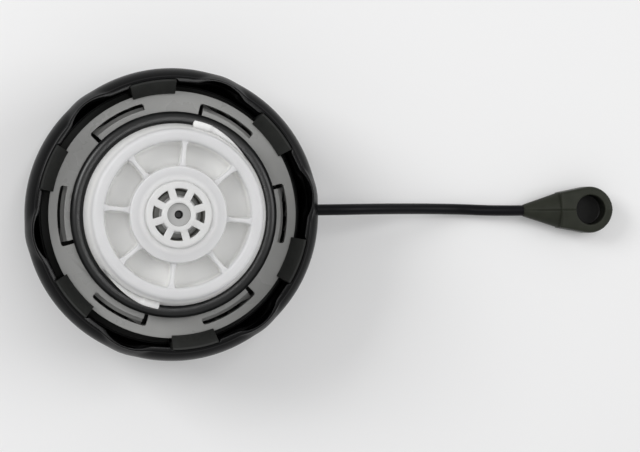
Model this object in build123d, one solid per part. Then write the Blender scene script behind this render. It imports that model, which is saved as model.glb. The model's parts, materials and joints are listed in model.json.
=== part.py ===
from build123d import *
from math import cos, degrees, pi, radians, sin, tan
import os

# Fuel filler cap, quarter turn, with a torque-limiting ratchet, a vent valve and a tether.
# Millimetres. +Z runs along the cap's axis, from the grip towards the nose that enters the
# filler neck. The origin is the centre of the grip's flat top, on which the cap lies.
# Radii are built outward from the stem, and levels upward from the grip's top.

# ---- clearances ------------------------------------------------------------------------
running_gap = 0.3        # between the cover's parts and the parts that turn in them
snug_gap = 0.05          # radial, between two parts that are pushed together
stem_gap = 0.075         # radial, between a valve stem and its guide
edge_break = 0.3         # broken edge of a moulding
overcut = 1.0            # a cutter's overlap past the faces that it cuts

# ---- plug body: white acetal closure with bayonet cams ------------------------------------
stem_radius = 25.0       # stem that passes the neck's bayonet slots
nose_length = 20.0       # gasket's seat to the nose's face
plug_wall = 2.2
shoulder_thickness = 1.0
shoulder_reach = 2.15    # shoulder beyond the spigot
stem_height = 6.5        # seat to the cone
cone_step = 0.8          # cone's foot beyond the stem
nose_taper = 1.5         # nose inside the stem
nose_round = 1.0
nose_wall = 3.3          # nose's edge to the pockets
pocket_depth = 6.5
pocket_floor = 2.2
pocket_corner = 0.6      # rounding under the pockets
hub_radius = 13.3
hub_rise = 0.9           # hub's face above the nose's face
hub_wall = 2.2
hub_length = 28.5        # hub's face to the lower end of its tube
hub_lip = 3.4            # hub's end wall round the cage
hub_chamfer = 0.5
rib_count = 8
rib_thickness = 1.35
rib_turn = -6.0          # degrees, first rib from +X
rib_step = 0.4           # ribs below the nose's face
rib_root = 0.3           # ribs run into the walls at both ends
spigot_step = 1.5        # plate's bore beyond the stem
spigot_lift = 0.4        # spigot's end above the hook ring's floor
bead_height = 1.3
bead_reach = 0.6
skirt_narrowing = 1.5    # stem's inside narrows this far below the seat
cam_count = 2
cam_reach = 1.85         # cams beyond the stem
cam_end_reach = 0.25     # a cam's tapered end beyond the stem
cam_turn = 78.5          # degrees, the cams' leading end
cam_angle = 42.0         # degrees, length of a cam
cam_block_angle = 11.0   # degrees, stop block at the leading end
cam_thickness = 3.2
cam_chamfer = 0.8
cam_fall = 1.2           # a cam's end below its leading end
cam_height = 11.4        # seat to the top of the cams' leading end
cam_block_rise = 0.9
cam_sections = 8
key_count = 6
key_width = 3.0
key_height = 0.9
key_root = 0.3           # keys run into the spigot

# ---- ratchet plate: acetal ring with six pawls ------------------------------------------
plate_rise = 8.8         # hook ring's floor to the plate
plate_thickness = 3.0
drum_wall = 2.1
drum_depth = 7.0         # drum below the plate
pawl_count = 6
pawl_relief = 0.7        # slit between the drum and a pawl
pawl_wall = 1.7
pawl_depth = 6.0         # pawls below the plate
pawl_ledge = 1.1         # a pawl's ledge, seen in its slot
ledge_drop = 3.4         # ledge below the plate's top
slot_width = 1.9
slot_half_angle = 15.5   # degrees
slot_round = 0.8         # outer corners of a slot
pawl_slit = 2.2          # degrees, between a pawl's free end and the plate
pawl_root_angle = 4.5    # degrees, solid stretch at the pawl's root
pawl_root_bite = 0.5     # pawls run into the drum
pawl_gap = 0.25          # pawl's wedge to the teeth
wedge_drop = 2.0         # wedge below the ledge

# ---- hook ring: matt moulding with the six snap hooks and the inside teeth --------------
ring_floor = 1.8
ring_bore_step = 0.5     # floor's bore inside the stem
ring_foot_step = 0.6     # floor's edge inside the hooks' arms
tooth_count = 48
tooth_reach = 1.5        # pawls to the teeth's tips
tooth_depth = 1.1
tooth_wall = 1.4
tooth_land = 0.02        # a tooth's steep face, as a share of the pitch
plate_lap = 0.4          # plate over the toothed wall
hook_gap = 1.2           # plate's edge to the hooks' arms
hook_hold = 0.8          # hooks' noses over the plate
hook_width = 20.0        # degrees
hook_turn = 38.5         # degrees, first hook from +X
hook_nose = 0.9          # height of the nose's blunt edge
hook_ramp = 5.0          # height of the lead-in ramp
hook_flare = 0.2         # hooks' heads lean outward
hook_land = 0.6          # flat end of a hook
arm_wall = 1.6
stake_count = 6
stake_inset = 0.4        # stakes' circle inside the pawls' outer face
stake_radius = 1.2
stake_head_radius = 1.8
stake_head_height = 0.7

# ---- cover shell: glossy black moulding, grip and skirt in one -------------------------
grip_height = 13.0       # grip's flat top to the cover's face
face_wall = 2.4          # cover's face
cavity_gap = 0.2         # hooks' arms to the cover's inside
groove_wall = 1.8        # inside to the bottom of the tether groove
flange_width = 3.0       # face to tether groove
flange_reach = 1.8       # flange beyond the groove's bottom
face_round = 2.6         # rounding of the face's outer edge
groove_width = 4.4       # tether groove, along the axis
skirt_swell = 0.1        # widest round beyond the flange
skirt_band = 1.2         # groove to where the skirt starts
skirt_wall = 2.0         # skirt where it is widest
skirt_inset = 0.15       # skirt's start inside the band's outline
skirt_height = 23.0      # face to the free edge
skirt_taper = 9.0        # widest round to the free edge
rim_draw = 3.2           # free edge inside the widest round, between the lobes
rim_wall = 1.5           # free edge
lobe_count = 6
lobe_turn = 8.5          # degrees, first lobe from +X
lobe_half_angle = 11.0   # degrees, at the free edge
lobe_rise = 0.25         # lobes at the widest round
rim_lobe_rise = 1.25     # lobes at the free edge, outside
rim_arch_rise = 2.2      # lobes at the free edge, inside
notch_depth = 2.6        # notches for the hooks' heads, inside the free edge
notch_margin = 0.4       # degrees, beside a hook
grip_length = 66.0
grip_end_bow = 6.0       # bulge of the grip's ends
grip_end_width = 21.0
grip_waist = 15.0        # width at the finger hollows
grip_draft = 5.0         # degrees
grip_corner_round = 4.5
grip_edge_round = 2.4
grip_wall = 2.4
grip_rib = 1.6           # cross ribs inside the hollow grip
grip_rib_spacing = 17.0

# ---- gasket ---------------------------------------------------------------------------------
gasket_width = 4.3
gasket_height = 4.2
gasket_bead = 1.3        # height of the lower bead
gasket_neck = 1.2        # height of the waist between the beads
gasket_waist = 1.0
gasket_lip = 1.2         # outer edge of the sealing face
gasket_bevel = 0.9       # inner edge of the sealing face

# ---- vent valve -----------------------------------------------------------------------------
cage_step = 1.8          # cage inside the hub's bore
cage_rise = 0.8          # cage's face above the hub's face
cage_flange = 2.0
cage_wall = 1.4
cage_round = 0.7
port_count = 8
port_inner_radius = 4.7
port_outer_radius = 7.25
port_web = 2.0
boss_radius = 5.3
boss_wall = 1.6
boss_depth = 3.9
boss_rise = 0.3
boss_lip = 0.4
guide_radius = 3.2
guide_recess = 0.9
guide_thickness = 1.0
guide_tube_radius = 1.95
guide_tube_depth = 4.0
housing_inset = 2.0      # housing's foot above the hub's foot
housing_wall = 2.25
seat_lip_height = 0.6
seat_lip_wall = 0.8
seat_width = 1.6         # housing's bore to the seat's opening
seat_thickness = 1.6
o_ring_section = 1.1
o_ring_rise = 8.6        # housing's foot to the O-ring
o_ring_play = 0.15
o_ring_gap = 0.02
seal_thickness = 1.2
seal_step = 0.4          # seal plate inside the housing's bore
seal_width = 2.8
plate_wall = 1.3
plate_rim = 0.1          # pressure plate beyond its seal
plate_stud = 0.75        # wall of the stud that holds the seal
plate_stud_height = 0.7
guide_hub_radius = 2.3
guide_hub_depth = 2.4
vent_hole_radius = 0.9
vent_hole_circle = 3.8
vent_hole_count = 4
notch_radius = 1.1       # notches in the pressure plate's edge
notch_count = 6
disc_lap = 1.0           # vacuum valve's disc over the seal
disc_thickness = 1.1
valve_stem_radius = 1.5
valve_stem_depth = 9.3   # below the vacuum valve's disc
pilot_radius = 1.1
pilot_height = 3.9       # above the vacuum valve's disc
pilot_root_radius = 1.8
pilot_root_height = 0.5
push_nut_radius = 3.6
push_nut_thickness = 0.5
push_nut_slot = 1.1      # the grip fingers' slots, outward from the stem
push_nut_slot_width = 0.35
push_nut_lift = 0.6      # stem's end below the nut
grip_finger_count = 4
vacuum_coil_radius = 2.9
vacuum_wire = 0.4
vacuum_turns = 6
coil_step = 1.9          # pressure spring inside the seal plate
coil_guide_gap = 0.15
coil_guide_wall = 0.9
coil_guide_height = 0.7
pressure_wire = 0.9
pressure_turns = 5
spring_seat_rise = 2.2   # housing's foot to the spring's seat
spring_seat_thickness = 1.8
spring_seat_wall = 2.3   # spring's centre line to the seat's bore
spring_seat_slot = 1.4
spring_seat_slots = 4
clip_ring_thickness = 0.9
clip_ring_wall = 1.6
clip_ring_seat = 0.6     # depth of the clip ring's groove
clip_ring_opening = 40.0  # degrees
clip_ear_radius = 1.3
clip_ear_hole = 0.6
clip_ear_angle = 8.0     # degrees, from an end of the ring

# ---- tether ---------------------------------------------------------------------------------
tether_ring_play = 0.25
tether_ring_side_play = 0.15
tether_ring_wall = 1.5
tether_boss_width = 6.4
tether_boss_reach = 0.5  # boss beyond the flange
tether_boss_depth = 2.0
strap_diameter = 3.3
fitting_axis_height = 4.3
fitting_tip_radius = 1.9
fitting_step = 11.4      # narrow end to the step
fitting_step_width = 11.0
fitting_step_height = 7.6
fitting_cheek_share = 0.975  # cheeks run to this share of the head's radius
fitting_head_radius = 7.2
fitting_head_distance = 20.8
fitting_head_height = 8.6
fitting_head_round = 1.1
socket_radius = 4.6
socket_depth = 5.4

# ---- radii, outward from the stem --------------------------------------------------------------
cone_radius = stem_radius + cone_step
nose_radius = stem_radius - nose_taper
pocket_outer_radius = nose_radius - nose_wall
cam_root_radius = stem_radius - plug_wall / 2
cam_radius = stem_radius + cam_reach
cam_end_radius = stem_radius + cam_end_reach
drum_bore_radius = stem_radius + spigot_step
spigot_radius = drum_bore_radius - snug_gap
shoulder_radius = spigot_radius + shoulder_reach
gasket_inner_radius = stem_radius + snug_gap
gasket_radius = gasket_inner_radius + gasket_width
drum_radius = drum_bore_radius + drum_wall
pawl_inner_radius = drum_radius + pawl_relief
pawl_outer_radius = pawl_inner_radius + pawl_wall
ledge_radius = pawl_outer_radius + pawl_ledge
slot_outer_radius = pawl_outer_radius + slot_width
tooth_tip_radius = pawl_outer_radius + tooth_reach
tooth_root_radius = tooth_tip_radius + tooth_depth
tooth_wall_radius = tooth_root_radius + tooth_wall
stake_circle_radius = pawl_outer_radius - stake_inset
plate_radius = tooth_wall_radius + plate_lap
arm_inside = plate_radius + hook_gap
arm_radius = arm_inside + arm_wall
hook_back = arm_radius + hook_flare
hook_reach = plate_radius - hook_hold
cavity_radius = arm_radius + cavity_gap
groove_radius = cavity_radius + groove_wall
face_radius = groove_radius + flange_reach
cover_radius = face_radius + skirt_swell
rim_radius = cover_radius - rim_draw
tether_boss_face = face_radius + tether_boss_reach
hub_bore_radius = hub_radius - hub_wall
cage_radius = hub_bore_radius - cage_step
housing_radius = hub_bore_radius - snug_gap
housing_bore_radius = housing_radius - housing_wall
seat_radius = housing_bore_radius - seat_width
seal_radius = housing_bore_radius - seal_step
seal_bore_radius = seal_radius - seal_width
disc_radius = seal_bore_radius + disc_lap
pressure_coil_radius = seal_radius - coil_step
coil_guide_radius = pressure_coil_radius - pressure_wire / 2 - coil_guide_gap
spring_seat_bore = pressure_coil_radius - spring_seat_wall

# ---- levels, upward from the grip's top --------------------------------------------------------
face_level = grip_height
floor_level = face_level + face_wall
groove_low = face_level + flange_width
groove_high = groove_low + groove_width
skirt_start = groove_high + skirt_band
rim_level = face_level + skirt_height
widest_level = rim_level - skirt_taper
ring_top = floor_level + ring_floor
spigot_foot = ring_top + spigot_lift
plate_bottom = ring_top + plate_rise
plate_top = plate_bottom + plate_thickness
ledge_top = plate_top - ledge_drop
hook_latch = plate_top + running_gap
hook_top = hook_latch + hook_nose + hook_ramp
seat_level = plate_top + shoulder_thickness
cone_level = seat_level + stem_height
cam_top = seat_level + cam_height
nose_height = seat_level + nose_length
pocket_level = nose_height - pocket_depth
hub_level = nose_height + hub_rise
hub_foot = hub_level - hub_length
hub_shoulder = hub_level - hub_lip
cage_level = hub_level + cage_rise
cage_inside = cage_level - cage_wall
boss_top = cage_level + boss_rise
guide_floor = boss_top - guide_recess - guide_thickness
housing_top = hub_shoulder - cage_flange
housing_foot = hub_foot + housing_inset
o_ring_level = housing_foot + o_ring_rise
hub_clip_level = housing_foot - clip_ring_thickness
spring_seat_level = housing_foot + spring_seat_rise
seal_top = housing_top - seat_thickness - seat_lip_height
plate_upper = seal_top - seal_thickness
plate_under = plate_upper - plate_wall
push_nut_level = seal_top - valve_stem_depth + push_nut_lift
strap_exit_height = (groove_low + groove_high) / 2

# ---- angles ------------------------------------------------------------------------------------
tooth_pitch = 360 / tooth_count
pawl_end_angle = slot_half_angle - pawl_slit
pawl_root_end = -slot_half_angle + pawl_root_angle
key_turn = 180 / key_count
port_half_pitch = 180 / port_count

# The strap's route, chosen by hand: how far from the boss, how far to the side, and its height.
# It leaves the ring level, dips to the table and rises into the end fitting.
strap_route = [
    (0.0, 0.9, strap_exit_height), (8.5, 0.9, strap_exit_height), (21.5, 1.0, 12.7),
    (35.5, 0.9, 5.8), (48.5, 0.6, 2.0), (58.5, 0.0, fitting_axis_height),
    (67.5, 0.0, fitting_axis_height)]
fitting_tip = tether_boss_face + strap_route[-1][0]


def ring(outer, inner, low, high):
    """A plain ring about the cap's axis."""
    height = high - low
    body = Cylinder(outer, height) - Cylinder(inner, 2 * height)
    return Pos(0, 0, low + height / 2) * body


def turned(corners):
    """A solid of revolution about the cap's axis from (radius, height) corners. A corner with a
    third number is rounded by it."""
    outline = make_face(Polyline([(corner[0], 0, corner[1]) for corner in corners], close=True))
    for corner in corners:
        if len(corner) == 3:
            place = outline.vertices().sort_by_distance((corner[0], 0, corner[1]))[0]
            outline = fillet(place, corner[2])
    return revolve(outline, Axis.Z)


def sector(outer, inner, start, end, low, high):
    """A piece of a ring between two angles in degrees."""
    section = make_face(Polyline(
        [(inner, 0, low), (outer, 0, low), (outer, 0, high), (inner, 0, high)], close=True))
    return Rot(0, 0, start) * revolve(section, Axis.Z, revolution_arc=end - start)


def polar(radius, angle):
    return (radius * cos(radians(angle)), radius * sin(radians(angle)))


def around(count, start=0.0):
    """Turns about the cap's axis, for a pattern."""
    return [Rot(0, 0, start + 360 * i / count) for i in range(count)]


def lobe(widest, rim, rim_rise, low):
    """A lobe about +X: a column of circles whose fronts follow the lobe's crest. It starts inside
    the skirt, and its circles' radius gives the arch at the free edge its stated half angle."""
    half = rim * sin(radians(lobe_half_angle))
    depth = rim + rim_rise - rim * cos(radians(lobe_half_angle))
    column = (half ** 2 + depth ** 2) / (2 * depth)
    crest = [(widest - lobe_rise, low), (widest + lobe_rise, widest_level),
             (rim + rim_rise, rim_level)]
    return loft([Pos(front - column, 0, level) * Circle(column) for front, level in crest])


def skirt_form(widest, rim, rim_rise, low):
    """The solid inside one of the skirt's surfaces: a barrel that draws in to the free edge, and
    six lobes on it."""
    start = widest - skirt_inset
    barrel = revolve(make_face([
        Line((0, 0, low), (start, 0, low)),
        TangentArc((widest, 0, widest_level), (start, 0, low), tangent=(0, 0, -1)),
        TangentArc((widest, 0, widest_level), (rim, 0, rim_level), tangent=(0, 0, 1)),
        Line((rim, 0, rim_level), (0, 0, rim_level)),
        Line((0, 0, rim_level), (0, 0, low)),
    ]), Axis.Z)
    for turn in around(lobe_count, lobe_turn):
        barrel += turn * lobe(widest, rim, rim_rise, low)
    return barrel


def grip_outline(inset):
    """The grip's outline seen along the axis: two rounded ends and two finger hollows."""
    end = grip_length / 2 - grip_end_bow
    side = grip_end_width / 2 - inset
    waist = grip_waist / 2 - inset
    tip = grip_length / 2 - inset
    outline = make_face([
        ThreePointArc((-end, side), (0, waist), (end, side)),
        ThreePointArc((end, side), (tip, 0), (end, -side)),
        ThreePointArc((end, -side), (0, -waist), (-end, -side)),
        ThreePointArc((-end, -side), (-tip, 0), (-end, side)),
    ])
    return fillet(outline.vertices(), grip_corner_round - inset)


def make_grip():
    """The grip as a solid bar, and the hollow in it with its cross ribs left standing."""
    down = Plane(origin=(0, 0, face_level + face_wall / 2), z_dir=(0, 0, -1), x_dir=(0, 1, 0))
    bar = extrude(down * grip_outline(0), grip_height + face_wall / 2, taper=grip_draft)
    bar = fillet(bar.edges().group_by(Axis.Z)[0], grip_edge_round)
    inside = Plane(origin=(0, 0, floor_level), z_dir=(0, 0, -1), x_dir=(0, 1, 0))
    depth = floor_level - grip_wall
    hollow = extrude(inside * grip_outline(grip_wall), depth, taper=grip_draft)
    for place in (-grip_rib_spacing / 2, grip_rib_spacing / 2):
        hollow -= Pos(0, place, depth / 2) * Box(grip_end_width, grip_rib, floor_level + depth)
    return bar, hollow


def make_cover_shell():
    disc = turned([
        (0, face_level), (face_radius, face_level, face_round), (face_radius, groove_low),
        (groove_radius, groove_low), (groove_radius, groove_high),
        (cover_radius - edge_break, groove_high), (cover_radius, groove_high + edge_break),
        (cover_radius, skirt_start), (0, skirt_start)])
    skirt = skirt_form(cover_radius, rim_radius, rim_lobe_rise, skirt_start - skirt_inset)
    hollow = skirt_form(cover_radius - skirt_wall, rim_radius - rim_wall, rim_arch_rise, skirt_start)
    grip, grip_hollow = make_grip()
    shell = disc + skirt + grip
    shell -= ring(cavity_radius, 0, floor_level, skirt_start)
    shell -= hollow
    shell -= grip_hollow
    notch = sector(hook_back + 2 * snug_gap, rim_radius - 2 * rim_wall,
                   -hook_width / 2 - notch_margin, hook_width / 2 + notch_margin,
                   hook_top - notch_depth, rim_level + overcut)
    for turn in around(lobe_count, hook_turn):
        shell -= turn * notch
    base = (Align.CENTER, Align.CENTER, Align.MIN)
    stake = Cylinder(stake_radius, ring_floor, align=base)
    stake += Pos(0, 0, ring_floor) * Cylinder(stake_head_radius, stake_head_height, align=base)
    for turn in around(stake_count):
        shell += turn * Pos(stake_circle_radius, 0, floor_level) * stake
    return shell


def tooth_ring_outline():
    """Saw teeth that face the axis: a slope out to the root, then a steep face back."""
    steep = pawl_end_angle + degrees(pawl_gap / tooth_root_radius)
    points = []
    for i in range(tooth_count):
        end = steep + i * tooth_pitch
        points.append(polar(tooth_tip_radius, end - tooth_pitch))
        points.append(polar(tooth_root_radius, end - tooth_land * tooth_pitch))
    return make_face(Polyline(points, close=True))


def make_hook():
    """One hook about +X: an arm whose head leans outward and carries a nose with a ramp."""
    profile = make_face(Polyline([
        (arm_inside, 0, floor_level), (arm_inside, 0, hook_latch), (hook_reach, 0, hook_latch),
        (hook_reach, 0, hook_latch + hook_nose), (hook_back - hook_land, 0, hook_top),
        (hook_back, 0, hook_top), (hook_back, 0, plate_top), (arm_radius, 0, skirt_start),
        (arm_radius, 0, floor_level)], close=True))
    return Rot(0, 0, -hook_width / 2) * revolve(profile, Axis.Z, revolution_arc=hook_width)


def make_hook_ring():
    wall_top = plate_bottom - running_gap
    bore = stem_radius - ring_bore_step
    foot = arm_radius - ring_foot_step
    inner = tooth_tip_radius - overcut
    body = turned([
        (bore, floor_level), (foot, floor_level), (foot, ring_top), (tooth_wall_radius, ring_top),
        (tooth_wall_radius, wall_top), (inner, wall_top), (inner, ring_top), (bore, ring_top)])
    body -= extrude(Pos(0, 0, ring_top) * tooth_ring_outline(), wall_top)
    for turn in around(lobe_count, hook_turn):
        body += turn * make_hook()
    for turn in around(stake_count):
        body -= turn * Pos(stake_circle_radius, 0, ring_top) * Cylinder(
            stake_radius + snug_gap, 3 * ring_floor)
    return body


def make_slot():
    """The window over a pawl, with rounded outer corners, through the whole plate."""
    slot = sector(slot_outer_radius, pawl_outer_radius, -slot_half_angle, slot_half_angle,
                  plate_bottom - overcut, plate_top + overcut)
    upright = slot.edges().filter_by(Axis.Z).sort_by(lambda edge: Vector(*edge.center()).length)
    return fillet(upright[-2:], slot_round)


def make_pawl():
    """A pawl about +X: a strip from its root to its free end, a ledge along it, and at the free
    end a wedge that stands in the teeth."""
    foot = plate_bottom - pawl_depth
    strip = sector(pawl_outer_radius, pawl_inner_radius, -slot_half_angle, pawl_end_angle,
                   foot, plate_bottom)
    root = sector(pawl_outer_radius, drum_radius - pawl_root_bite, -slot_half_angle, pawl_root_end,
                  foot, plate_bottom)
    ledge = sector(ledge_radius, pawl_inner_radius, -slot_half_angle, pawl_end_angle,
                   foot, ledge_top)
    tip = tooth_tip_radius - pawl_gap
    slope_start = pawl_end_angle - tooth_pitch
    wedge_outline = Polyline([
        polar(ledge_radius - pawl_wall, slope_start), polar(ledge_radius, slope_start - tooth_pitch / 2),
        polar(tip, slope_start), polar(tip + tooth_depth, pawl_end_angle),
        polar(ledge_radius - pawl_wall, pawl_end_angle)], close=True)
    wedge = extrude(Pos(0, 0, foot) * make_face(wedge_outline), ledge_top - wedge_drop - foot)
    return strip + root + ledge + wedge


def make_ratchet_plate():
    body = ring(plate_radius, drum_bore_radius, plate_bottom, plate_top)
    body += ring(drum_radius, drum_bore_radius, plate_bottom - drum_depth, plate_bottom)
    slot = make_slot()
    slit = sector(pawl_outer_radius + edge_break, drum_radius, pawl_end_angle, slot_half_angle,
                  plate_bottom - overcut, plate_top + overcut)
    relief = sector(pawl_inner_radius, drum_radius, pawl_root_end, slot_half_angle,
                    plate_bottom - overcut, plate_top + overcut)
    pawl = make_pawl()
    key_slot = Pos(drum_bore_radius, 0, plate_top) * Box(
        2 * key_height + 2 * snug_gap, key_width + 2 * snug_gap, 2 * plate_thickness)
    for turn in around(pawl_count):
        body -= turn * slot
        body -= turn * slit
        body -= turn * relief
        body += turn * pawl
    for turn in around(key_count, key_turn):
        body -= turn * key_slot
    return body


def cam_section(angle, radius, top, bottom):
    """A cam's outline at one angle, with its upper outer edge bevelled."""
    frame = Plane(origin=(0, 0, 0), x_dir=(*polar(1, angle), 0), z_dir=(*polar(1, angle - 90), 0))
    bevel = min(cam_chamfer, (radius - stem_radius) / 2)
    outline = Polyline([
        (cam_root_radius, bottom), (radius, bottom), (radius, top - bevel),
        (radius - bevel, top), (cam_root_radius, top)], close=True)
    return frame * make_face(outline)


def make_cam():
    """A bayonet cam: a level block at the leading end, then a helical rail that falls towards the
    gasket and tapers back into the stem."""
    block = loft([
        cam_section(angle, cam_radius, cam_top + cam_block_rise, cam_top - cam_thickness)
        for angle in (0, -cam_block_angle / 2, -cam_block_angle)], ruled=True)
    rail = []
    for i in range(cam_sections + 1):
        share = i / cam_sections
        angle = -cam_block_angle - share * (cam_angle - cam_block_angle)
        radius = cam_radius + share * (cam_end_radius - cam_radius)
        top = cam_top - share * cam_fall
        rail.append(cam_section(angle, radius, top, top - cam_thickness))
    return block + loft(rail, ruled=True)


def make_plug_body():
    bead = spigot_radius + bead_reach
    bead_top = spigot_foot + bead_height
    inner = stem_radius - plug_wall
    foot_inner = spigot_radius - plug_wall
    under = pocket_level - pocket_floor
    body = turned([
        (foot_inner, spigot_foot), (bead, spigot_foot, bead_reach / 2), (bead, bead_top),
        (spigot_radius, bead_top), (spigot_radius, plate_top), (shoulder_radius, plate_top),
        (shoulder_radius, seat_level), (stem_radius, seat_level), (stem_radius, cone_level),
        (cone_radius, cone_level), (nose_radius, nose_height, nose_round),
        (pocket_outer_radius, nose_height), (pocket_outer_radius, pocket_level),
        (hub_radius, pocket_level), (hub_radius, hub_level - hub_chamfer),
        (hub_radius - hub_chamfer, hub_level), (cage_radius + snug_gap, hub_level),
        (cage_radius + snug_gap, hub_shoulder), (hub_bore_radius, hub_shoulder),
        (hub_bore_radius, hub_foot), (hub_radius, hub_foot), (hub_radius, under),
        (inner, under, pocket_corner), (inner, seat_level - skirt_narrowing),
        (foot_inner, plate_bottom)])
    rib_top = nose_height - rib_step
    rib = Pos((hub_radius + pocket_outer_radius) / 2, 0, (pocket_level + rib_top) / 2) * Box(
        pocket_outer_radius - hub_radius + 2 * rib_root, rib_thickness, rib_top - pocket_level)
    for turn in around(rib_count, rib_turn):
        body += turn * rib
    for turn in around(cam_count, cam_turn):
        body += turn * make_cam()
    key_length = plate_thickness - 4 * snug_gap
    key = Pos(spigot_radius + (key_height - key_root) / 2, 0, plate_top - key_length / 2) * Box(
        key_height + key_root - snug_gap, key_width, key_length)
    for turn in around(key_count, key_turn):
        body += turn * key
    body -= ring(hub_bore_radius + clip_ring_seat, 0, hub_clip_level, housing_foot)
    return body


def make_gasket():
    """Two beads with a waist between them, and a bevel on the inner edge of the sealing face."""
    inner = gasket_inner_radius
    side = gasket_radius - gasket_waist / 2
    lip = gasket_radius - gasket_lip
    top = seat_level + gasket_height
    low = seat_level + gasket_bead
    high = low + gasket_neck
    section = make_face([
        Line((inner, 0, seat_level), (side, 0, seat_level)),
        ThreePointArc((side, 0, seat_level), (gasket_radius, 0, (seat_level + low) / 2), (side, 0, low)),
        ThreePointArc((side, 0, low), (gasket_radius - gasket_waist, 0, (low + high) / 2), (side, 0, high)),
        ThreePointArc((side, 0, high), (gasket_radius, 0, (high + top) / 2), (lip, 0, top)),
        Line((lip, 0, top), (inner + gasket_bevel, 0, top)),
        Line((inner + gasket_bevel, 0, top), (inner, 0, top - gasket_bevel)),
        Line((inner, 0, top - gasket_bevel), (inner, 0, seat_level)),
    ])
    return revolve(section, Axis.Z)


def make_valve_cage():
    inside = cage_radius - cage_wall
    flange = hub_bore_radius - snug_gap
    boss_foot = cage_inside - boss_depth
    body = turned([
        (inside, housing_top), (flange, housing_top), (flange, hub_shoulder),
        (cage_radius, hub_shoulder), (cage_radius, cage_level, cage_round),
        (port_inner_radius, cage_level), (port_inner_radius - boss_lip, boss_top),
        (guide_radius + snug_gap, boss_top), (guide_radius + snug_gap, guide_floor),
        (guide_tube_radius + snug_gap, guide_floor), (guide_tube_radius + snug_gap, boss_foot),
        (boss_radius - boss_wall, boss_foot), (boss_radius, boss_foot + boss_wall),
        (boss_radius, cage_inside - cage_wall), (port_inner_radius, cage_inside),
        (inside, cage_inside)])
    middle = (port_inner_radius + port_outer_radius) / 2
    port = sector(port_outer_radius, port_inner_radius, -port_half_pitch, port_half_pitch,
                  cage_inside - boss_wall, boss_top)
    for side in (-port_half_pitch, port_half_pitch):
        port -= Rot(0, 0, side) * Pos(middle, 0, cage_level) * Box(middle, port_web, 2 * boss_depth)
    for turn in around(port_count, rib_turn):
        body -= turn * port
    return body


def make_guide_bush():
    bore = pilot_radius + stem_gap
    body = ring(guide_radius, bore, guide_floor, guide_floor + guide_thickness)
    body += ring(guide_tube_radius, bore, guide_floor - guide_tube_depth, guide_floor)
    return body


def make_valve_housing():
    bed = hub_bore_radius - o_ring_section
    bed_half = o_ring_section / 2 + o_ring_play
    seat_under = housing_top - seat_thickness
    return turned([
        (housing_bore_radius, housing_foot), (housing_radius, housing_foot),
        (housing_radius, o_ring_level - bed_half), (bed, o_ring_level - bed_half),
        (bed, o_ring_level + bed_half), (housing_radius, o_ring_level + bed_half),
        (housing_radius, housing_top), (seat_radius, housing_top), (seat_radius, seal_top),
        (seat_radius + seat_lip_wall, seal_top), (seat_radius + seat_lip_wall, seat_under),
        (housing_bore_radius, seat_under)])


def make_housing_o_ring():
    middle = hub_bore_radius - o_ring_section / 2
    return Pos(0, 0, o_ring_level) * Torus(middle, o_ring_section / 2 - o_ring_gap)


def make_housing_clip():
    outer = hub_bore_radius + clip_ring_seat - snug_gap
    inner = outer - clip_ring_wall
    half_opening = clip_ring_opening / 2
    body = ring(outer, inner, hub_clip_level, housing_foot)
    body -= sector(outer + overcut, inner - overcut, -half_opening, half_opening,
                   hub_clip_level - overcut, housing_foot + overcut)
    for angle in (-half_opening - clip_ear_angle, half_opening + clip_ear_angle):
        ear = Rot(0, 0, angle) * Pos(inner, 0, hub_clip_level + clip_ring_thickness / 2)
        body += ear * Cylinder(clip_ear_radius, clip_ring_thickness)
        body -= ear * Cylinder(clip_ear_hole, 3 * clip_ring_thickness)
    return body


def make_pressure_plate():
    bore = valve_stem_radius + stem_gap
    stud = seal_bore_radius - snug_gap
    body = ring(seal_radius, bore, plate_under, plate_upper)
    body += ring(guide_hub_radius, bore, plate_under - guide_hub_depth, plate_under)
    body += ring(coil_guide_radius, coil_guide_radius - coil_guide_wall,
                 plate_under - coil_guide_height, plate_under)
    body += ring(stud, stud - plate_stud, plate_upper, plate_upper + plate_stud_height)
    for turn in around(vent_hole_count, 180 / vent_hole_count):
        body -= turn * Pos(vent_hole_circle, 0, plate_upper) * Cylinder(
            vent_hole_radius, 4 * plate_wall)
    for turn in around(notch_count, 180 / notch_count):
        body -= turn * Pos(seal_radius + notch_radius / 2, 0, plate_under) * Cylinder(
            notch_radius, plate_wall)
    return body


def make_pressure_seal():
    return ring(seal_radius - plate_rim, seal_bore_radius, plate_upper, seal_top)


def make_vacuum_valve():
    top = seal_top + disc_thickness
    foot = seal_top - valve_stem_depth
    return turned([
        (0, foot), (valve_stem_radius - edge_break, foot), (valve_stem_radius, foot + edge_break),
        (valve_stem_radius, seal_top), (disc_radius, seal_top), (disc_radius, top - edge_break),
        (disc_radius - edge_break, top), (pilot_root_radius, top),
        (pilot_radius, top + pilot_root_height), (pilot_radius, top + pilot_height - edge_break),
        (pilot_radius - edge_break, top + pilot_height), (0, top + pilot_height)])


def make_push_nut():
    body = ring(push_nut_radius, valve_stem_radius, push_nut_level,
                push_nut_level + push_nut_thickness)
    for turn in around(grip_finger_count, 180 / grip_finger_count):
        body -= turn * Pos(valve_stem_radius, 0, push_nut_level) * Box(
            2 * push_nut_slot, push_nut_slot_width, 4 * push_nut_thickness)
    return body


def coil_spring(radius, wire, turns, low, high):
    """A round-wire compression spring whose ends lie just inside the two levels."""
    height = high - low - wire
    path = Helix(pitch=height / turns, height=height, radius=radius,
                 center=(0, 0, low + wire / 2))
    profile = Plane(origin=path @ 0, z_dir=path % 0) * Circle(wire / 2)
    return sweep(profile, path=path, is_frenet=True)


def make_pressure_spring():
    return coil_spring(pressure_coil_radius, pressure_wire, pressure_turns,
                       spring_seat_level, plate_under)


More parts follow.
